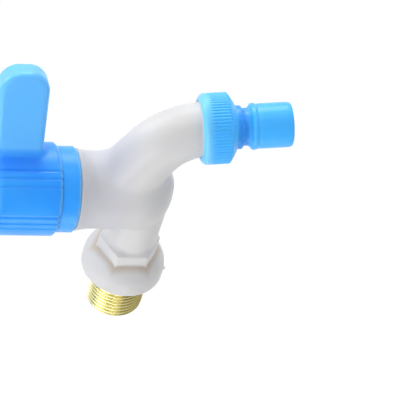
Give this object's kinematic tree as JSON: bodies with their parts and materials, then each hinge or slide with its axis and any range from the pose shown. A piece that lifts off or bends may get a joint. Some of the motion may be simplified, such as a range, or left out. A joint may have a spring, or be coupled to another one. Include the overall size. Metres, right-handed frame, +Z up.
{
  "type": "plastic bib tap",
  "caption": "Wall-mounted plastic bib tap: white body with downturned spout, blue quarter-turn paddle lever, knurled ring nut and push-fit hose nozzle, brass inlet thread.",
  "frame": {"origin": "on the inlet's axis, in the plane of the wall flange's back face, where the inlet thread leaves it", "axes": "+Y into the wall along the inlet thread, +Z up along the valve's axis, -Y the way the spout points, +X to the right seen from the front"},
  "size_m": [0.0429, 0.108, 0.1025],
  "materials": {
    "white_plastic": "satin white injection-moulded plastic, slightly translucent",
    "blue_plastic": "satin sky-blue moulded plastic, slightly translucent",
    "grey_plastic": "matt engineering plastic",
    "thread_brass": "bright turned brass",
    "stem_brass": "turned brass",
    "black_rubber": "black rubber",
    "disc_ceramic": "lapped ceramic",
    "screw_steel": "plated steel"
  },
  "bodies": {
    "tap_body": {"faucet_body": "white_plastic", "inlet_insert": "thread_brass", "bonnet_collar": "blue_plastic", "cartridge_barrel": "grey_plastic", "barrel_o_ring": "black_rubber", "seat_seal": "black_rubber", "fixed_disc": "disc_ceramic"},
    "lever_handle": {"handle": "blue_plastic", "handle_screw": "screw_steel", "screw_washer": "screw_steel", "index_plug": "blue_plastic", "cartridge_stem": "stem_brass", "stem_o_ring_lower": "black_rubber", "stem_o_ring_upper": "black_rubber", "thrust_washer": "grey_plastic", "moving_disc": "disc_ceramic", "stop_ring": "stem_brass", "stem_clip": "screw_steel"},
    "hose_nozzle": {"nozzle": "blue_plastic", "nozzle_washer": "black_rubber"},
    "union_nut": {"ring_nut": "blue_plastic"}
  },
  "joints": [
    {"name": "handle_turn", "type": "hinge", "parent": "tap_body", "child": "lever_handle", "pos_m": [0, -0.0423, 0.0353], "axis": [0, 0, 1], "range_deg": [-32.7, 57.3]},
    {"name": "nozzle_travel", "type": "slide", "parent": "tap_body", "child": "hose_nozzle", "axis": [0, -0.1184, -0.993], "range_m": [0, 0.00363]},
    {"name": "nut_turn", "type": "hinge", "parent": "hose_nozzle", "child": "union_nut", "pos_m": [0, -0.07706, -0.02156], "axis": [0, 0.1184, 0.993], "range_deg": [0, 720]}
  ],
  "couplings": [
    {"joint": "nut_turn", "follows": "nozzle_travel", "rad_per_m": 3463.7}
  ]
}
